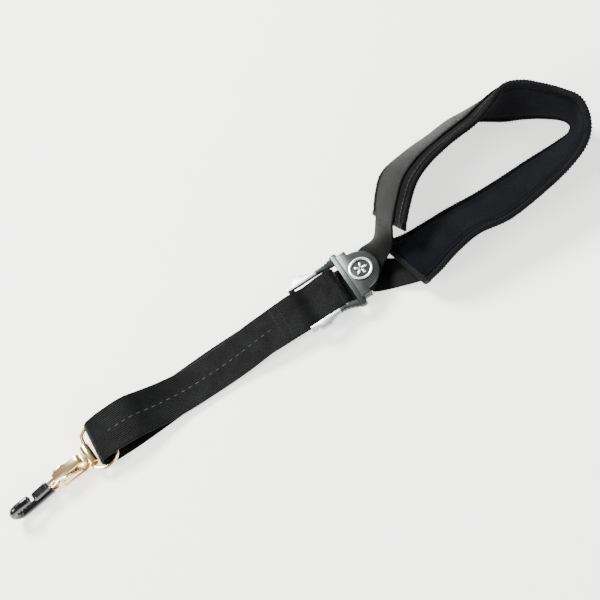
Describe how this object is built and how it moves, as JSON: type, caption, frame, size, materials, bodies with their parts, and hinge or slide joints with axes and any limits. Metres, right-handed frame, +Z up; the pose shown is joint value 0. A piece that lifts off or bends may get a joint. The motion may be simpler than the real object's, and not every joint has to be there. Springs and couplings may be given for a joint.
{
  "type": "saxophone neck strap",
  "caption": "Padded neck band on a folded run of black webbing with a sliding toothed adjuster and a gold sprung hook in dipped black sleeves.",
  "frame": {"origin": "on the table, on the underside of the lower run of webbing, under the adjuster's front bar", "axes": "+X along the strap from the hook to the neck band, +Z up from the table, +Y to the left leg of the band"},
  "size_m": [0.3921, 0.0883, 0.0446],
  "materials": {
    "webbing": "black woven nylon webbing with fine lengthwise ribs",
    "velour": "soft brushed black velour",
    "knit": "black knit cloth with overlocked edges",
    "foam": "closed-cell foam, hidden inside the band",
    "thread": "twisted sewing thread",
    "gunmetal": "satin grey-green coated die-cast metal",
    "silver": "bright raised ornament",
    "steel": "plain steel",
    "gold": "polished pale gold plating",
    "vinyl": "glossy black dipped vinyl"
  },
  "bodies": {
    "band": {"pad_lining": "velour", "pad_foam": "foam", "pad_cover": "knit", "pad_edge_lower": "knit", "pad_edge_upper": "knit", "pad_hem_left": "webbing", "pad_hem_right": "webbing", "neck_webbing": "webbing", "through_run": "webbing"},
    "hook_loop": {"loop_fold": "webbing", "front_run": "webbing"},
    "adjuster": {"adjuster_frame": "gunmetal", "adjuster_plate": "gunmetal", "badge_emblem": "silver", "crossbar": "steel", "end_loop": "webbing", "patch_thread_rear": "thread", "patch_thread_front": "thread"},
    "ring": {"hook_ring": "gold"},
    "hook": {"hook_body": "gold", "jaw_sleeve": "vinyl", "lever_pin": "steel", "lever_spring": "steel"},
    "lever": {"thumb_lever": "gold", "lever_sleeve": "vinyl"}
  },
  "joints": [
    {"name": "loop_slide", "type": "slide", "parent": "band", "child": "hook_loop", "axis": [1, 0, 0], "range_m": [-0.07, 0], "deforming": ["through_run"]},
    {"name": "adjuster_slide", "type": "slide", "parent": "hook_loop", "child": "adjuster", "axis": [1, 0, 0], "range_m": [-0.07, 0], "deforming": ["front_run"]},
    {"name": "ring_swing", "type": "hinge", "parent": "hook_loop", "child": "ring", "pos_m": [-0.162, 0, 0.0056], "axis": [0, 1, 0], "range_deg": [-70, 60]},
    {"name": "hook_swing", "type": "hinge", "parent": "ring", "child": "hook", "pos_m": [-0.1779, 0, 0.0056], "axis": [0, 1, 0], "range_deg": [-60, 60]},
    {"name": "lever_pivot", "type": "hinge", "parent": "hook", "child": "lever", "pos_m": [-0.19652, -0.00502, 0.0087], "axis": [-0.1392, 0.9903, 0], "range_deg": [0, 13], "stiffness_Nm_per_rad": 0.15, "springref_deg": -11.46, "deforming": ["lever_spring"]}
  ],
  "couplings": [
    {"joint": "adjuster_slide", "follows": "loop_slide", "ratio": 1}
  ]
}
